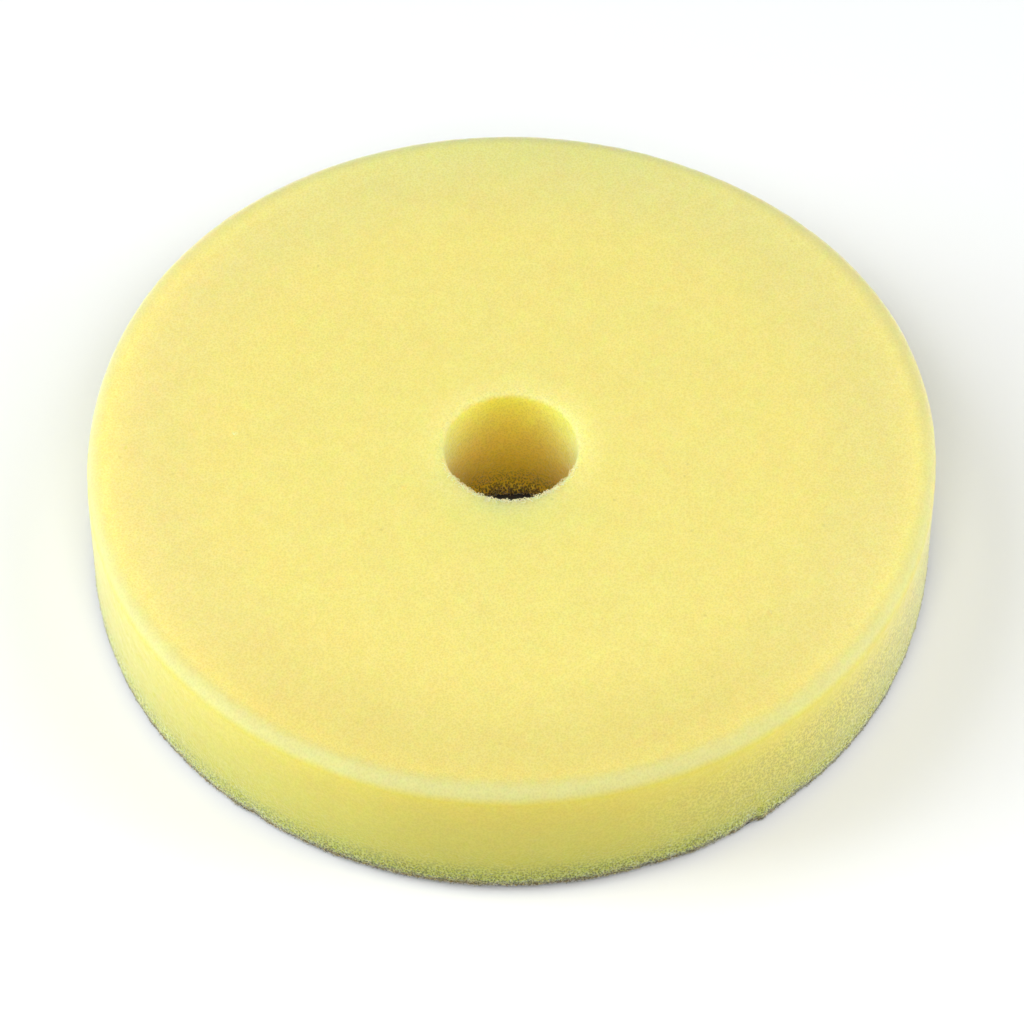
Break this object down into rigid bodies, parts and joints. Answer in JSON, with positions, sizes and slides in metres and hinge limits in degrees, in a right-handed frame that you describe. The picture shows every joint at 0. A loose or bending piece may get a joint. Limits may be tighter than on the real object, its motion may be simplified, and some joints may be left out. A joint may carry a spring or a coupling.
{
  "type": "polishing pad",
  "caption": "Round foam polishing pad with a rounded rim, a blind centre bore and a loop fabric back for a hook-faced backing plate.",
  "frame": {"origin": "centre of the loop face at the back of the pad, on the axis of the centre bore", "axes": "+Z along the bore axis, from the loop face to the working face; X and Y in the plane of the pad, which is round"},
  "size_m": [0.16, 0.16, 0.03],
  "materials": {
    "foam": "pale yellow open-cell polyurethane foam, matt",
    "adhesive": "thin translucent hot-melt film",
    "backing_cloth": "charcoal warp-knitted ground cloth",
    "loop_pile": "charcoal brushed loop pile"
  },
  "bodies": {
    "root": {"foam_disc": "foam", "adhesive_film": "adhesive", "backing_cloth": "backing_cloth", "loop_pile": "loop_pile"}
  },
  "joints": []
}
